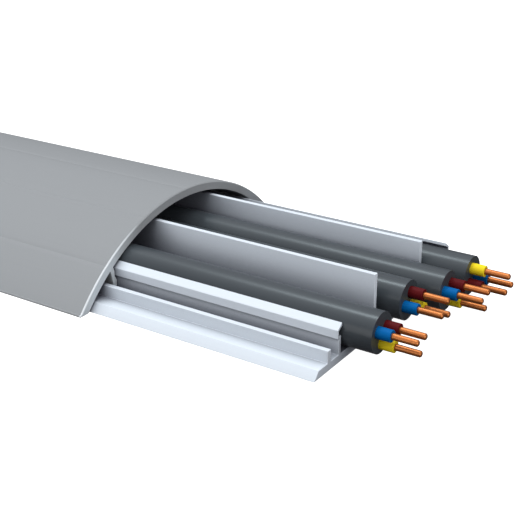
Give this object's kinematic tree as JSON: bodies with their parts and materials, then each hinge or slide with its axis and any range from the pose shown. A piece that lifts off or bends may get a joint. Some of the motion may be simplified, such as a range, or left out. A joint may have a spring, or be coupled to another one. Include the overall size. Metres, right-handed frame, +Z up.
{
  "type": "floor cord cover",
  "caption": "Low arched lid clipped over a flat base strip with upright dividers; it lies on a floor and carries power cables across it.",
  "frame": {"origin": "on the floor under the middle of the whole length and width", "axes": "+X along the strip towards the end where the cover is cut back and the cables are stripped, +Y across it, +Z up"},
  "size_m": [1.0186, 0.075, 0.0178],
  "materials": {
    "cover_plastic": "satin mid grey rigid plastic, extruded",
    "base_plastic": "satin white rigid plastic, extruded",
    "jacket_plastic": "satin dark grey flexible cable jacket",
    "brown_plastic": "glossy dark red-brown core insulation",
    "blue_plastic": "glossy blue core insulation",
    "yellow_plastic": "glossy yellow core insulation",
    "copper": "bright bare copper"
  },
  "bodies": {
    "root": {"base": "base_plastic", "cover": "cover_plastic", "cable_jacket_1": "jacket_plastic", "cable_jacket_2": "jacket_plastic", "cable_jacket_3": "jacket_plastic", "cable_jacket_4": "jacket_plastic", "brown_core_1": "brown_plastic", "brown_core_2": "brown_plastic", "brown_core_3": "brown_plastic", "brown_core_4": "brown_plastic", "blue_core_1": "blue_plastic", "blue_core_2": "blue_plastic", "blue_core_3": "blue_plastic", "blue_core_4": "blue_plastic", "yellow_core_1": "yellow_plastic", "yellow_core_2": "yellow_plastic", "yellow_core_3": "yellow_plastic", "yellow_core_4": "yellow_plastic", "brown_conductor_1": "copper", "brown_conductor_2": "copper", "brown_conductor_3": "copper", "brown_conductor_4": "copper", "blue_conductor_1": "copper", "blue_conductor_2": "copper", "blue_conductor_3": "copper", "blue_conductor_4": "copper", "yellow_conductor_1": "copper", "yellow_conductor_2": "copper", "yellow_conductor_3": "copper", "yellow_conductor_4": "copper"}
  },
  "joints": []
}
